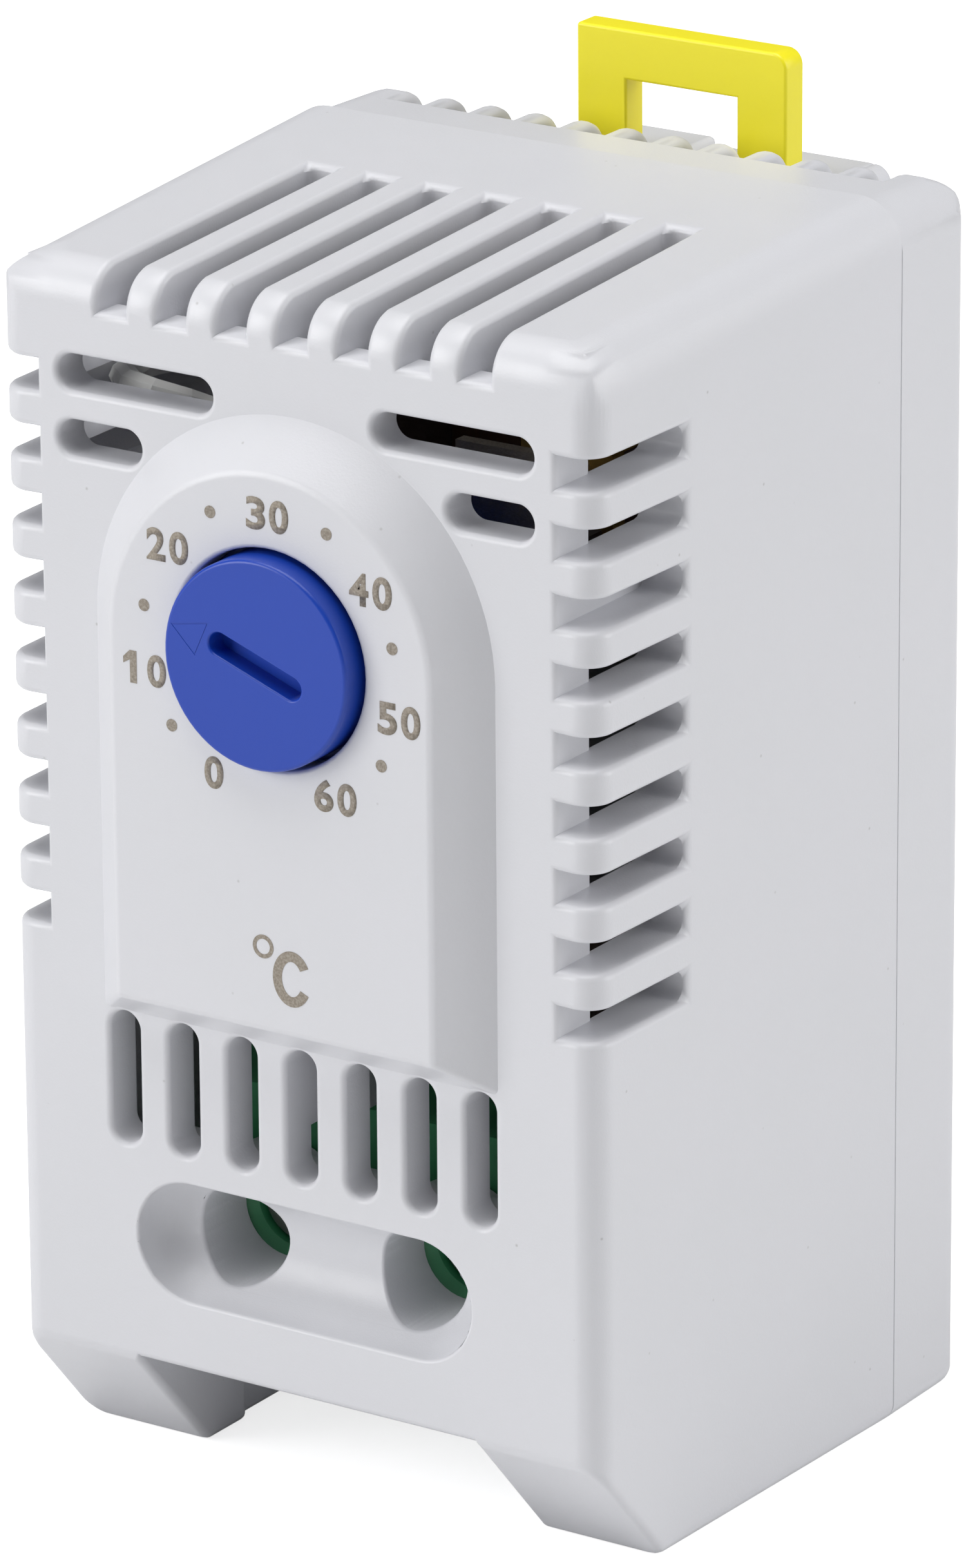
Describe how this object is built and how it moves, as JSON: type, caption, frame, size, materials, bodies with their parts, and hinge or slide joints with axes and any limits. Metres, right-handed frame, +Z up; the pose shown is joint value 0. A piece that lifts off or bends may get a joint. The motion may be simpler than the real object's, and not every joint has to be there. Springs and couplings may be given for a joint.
{
  "type": "cabinet thermostat",
  "caption": "Small DIN-rail control-cabinet thermostat: vented box case with a setting dial, screw terminals reached through the front and a sprung release slide behind.",
  "frame": {"origin": "centre of the footprint, on the plane that the two legs stand on", "axes": "+Z up along the case, -Y out of the dial's face, +Y towards the rail, +X to the right seen from the front"},
  "size_m": [0.0342, 0.0426, 0.0647],
  "materials": {
    "housing": "fine satin moulded",
    "dial": "satin moulded",
    "slide": "satin moulded",
    "block": "satin moulded",
    "board": "pressed laminate",
    "lead_sleeve": "smooth sleeve",
    "frame_steel": "rolled, zinc plated",
    "bimetal": "rolled, sheared edges",
    "pin_steel": "ground",
    "spring": "drawn wire",
    "screw_zinc": "zinc plated",
    "contact_silver": "pressed silver alloy",
    "brass": "bright pressed",
    "magnet": "dark sintered ferrite"
  },
  "bodies": {
    "case": {"front_housing": "housing", "rear_cover": "housing", "slide_spring": "spring", "spindle_bush": "brass", "switch_frame": "frame_steel", "pivot_pin": "pin_steel", "fixed_contact": "contact_silver", "contact_arm": "brass", "snap_magnet": "magnet", "return_spring": "spring", "circuit_board": "board", "terminal_block": "block", "busbar_left": "brass", "busbar_right": "brass", "lead_wire": "lead_sleeve"},
    "dial": {"dial_knob": "dial"},
    "spindle": {"adjusting_spindle": "brass"},
    "lever": {"carrier_lever": "frame_steel"},
    "blade": {"bimetal_strip": "bimetal", "strip_rivets": "contact_silver", "armature_plate": "frame_steel", "moving_contact": "contact_silver"},
    "release_slide": {"din_slide": "slide"},
    "screw_left": {"terminal_screw_left": "screw_zinc"},
    "screw_right": {"terminal_screw_right": "screw_zinc"},
    "cage_left": {"clamp_cage_left": "screw_zinc"},
    "cage_right": {"clamp_cage_right": "screw_zinc"}
  },
  "joints": [
    {"name": "dial_turn", "type": "hinge", "parent": "case", "child": "dial", "pos_m": [0, -0.01818, 0.04345], "axis": [0, 1, 0], "range_deg": [-80, 220]},
    {"name": "spindle_feed", "type": "slide", "parent": "dial", "child": "spindle", "axis": [0, 1, 0], "range_m": [-0.00011111, 0.00030555]},
    {"name": "lever_tilt", "type": "hinge", "parent": "case", "child": "lever", "pos_m": [0, -0.00317, 0.031], "axis": [-1, 0, 0], "range_deg": [-0.52, 1.42], "deforming": ["return_spring"]},
    {"name": "blade_bend", "type": "hinge", "parent": "lever", "child": "blade", "pos_m": [0.0075, -0.01112, 0.0332], "axis": [-1, 0, 0], "range_deg": [-1.2, 1.1], "stiffness_Nm_per_rad": 0.1},
    {"name": "slide_release", "type": "slide", "parent": "case", "child": "release_slide", "axis": [0, 0, 1], "range_m": [0, 0.0022], "stiffness_N_per_m": 600, "springref_m": -0.003, "deforming": ["slide_spring"]},
    {"name": "screw_left_turn", "type": "hinge", "parent": "case", "child": "screw_left", "pos_m": [-0.00508, -0.01018, 0.0128], "axis": [0, 1, 0], "range_deg": [0, 1656]},
    {"name": "cage_left_rise", "type": "slide", "parent": "case", "child": "cage_left", "axis": [0, -1, 0], "range_m": [0, 0.0023]},
    {"name": "screw_right_turn", "type": "hinge", "parent": "case", "child": "screw_right", "pos_m": [0.00508, -0.01018, 0.0128], "axis": [0, 1, 0], "range_deg": [0, 1656]},
    {"name": "cage_right_rise", "type": "slide", "parent": "case", "child": "cage_right", "axis": [0, -1, 0], "range_m": [0, 0.0023]}
  ],
  "couplings": [
    {"joint": "dial_turn", "follows": "spindle_feed", "rad_per_m": 12566},
    {"joint": "lever_tilt", "follows": "spindle_feed", "rad_per_m": 80.321},
    {"joint": "screw_left_turn", "follows": "cage_left_rise", "rad_per_m": 12566},
    {"joint": "screw_right_turn", "follows": "cage_right_rise", "rad_per_m": 12566}
  ]
}
